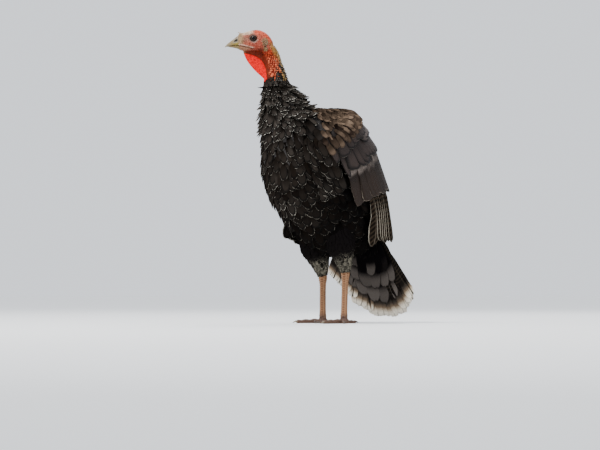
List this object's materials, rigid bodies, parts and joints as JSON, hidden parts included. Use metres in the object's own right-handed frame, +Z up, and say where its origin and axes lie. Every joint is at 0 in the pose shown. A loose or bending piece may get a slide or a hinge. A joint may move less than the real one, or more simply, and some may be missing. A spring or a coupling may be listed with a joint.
{
  "type": "standing domestic turkey figure",
  "caption": "Life-size domestic turkey standing alert with raised head turned aside, folded wings, hanging tail and bare red throat.",
  "frame": {"origin": "middle of the bird's bounding box at floor level, under the soles", "axes": "+Z up, the bird's breast faces -Y, its left side is +X"},
  "size_m": [0.288, 0.443, 0.6916],
  "materials": {
    "body_feathers": "near-black brown contour feathers with thin buff edges",
    "wing_feathers": "dark bronze-brown flight feathers and coverts, paler barred tips",
    "tail_feathers": "black tail feathers with grey-brown tips and cream ends",
    "leg_feathers": "short grey-olive leg feathers",
    "red_skin": "bare bright red skin",
    "face_skin": "bare pink to salmon-red skin",
    "neck_skin": "bare warty orange-red skin, ochre at the nape",
    "horn": "olive-tan horn, satin",
    "scaly_skin": "orange-brown scaly skin",
    "claw_horn": "brown-grey horn, satin",
    "eye": "wet dark brown eye"
  },
  "bodies": {
    "root": {"torso": "body_feathers", "neck": "body_feathers", "neck_upper": "neck_skin", "head": "face_skin", "bill_upper": "horn", "bill_lower": "horn", "dewlap": "red_skin", "snood": "face_skin", "eye_left": "eye", "eye_right": "eye", "wing_left": "wing_feathers", "wing_right": "wing_feathers", "tail": "tail_feathers", "thigh_left": "leg_feathers", "thigh_right": "leg_feathers", "shank_left": "scaly_skin", "shank_right": "scaly_skin", "foot_left": "scaly_skin", "foot_right": "scaly_skin", "toe_inner_left": "scaly_skin", "claw_inner_left": "claw_horn", "toe_middle_left": "scaly_skin", "claw_middle_left": "claw_horn", "toe_outer_left": "scaly_skin", "claw_outer_left": "claw_horn", "toe_hind_left": "scaly_skin", "claw_hind_left": "claw_horn", "toe_inner_right": "scaly_skin", "claw_inner_right": "claw_horn", "toe_middle_right": "scaly_skin", "claw_middle_right": "claw_horn", "toe_outer_right": "scaly_skin", "claw_outer_right": "claw_horn", "toe_hind_right": "scaly_skin", "claw_hind_right": "claw_horn"}
  },
  "joints": []
}
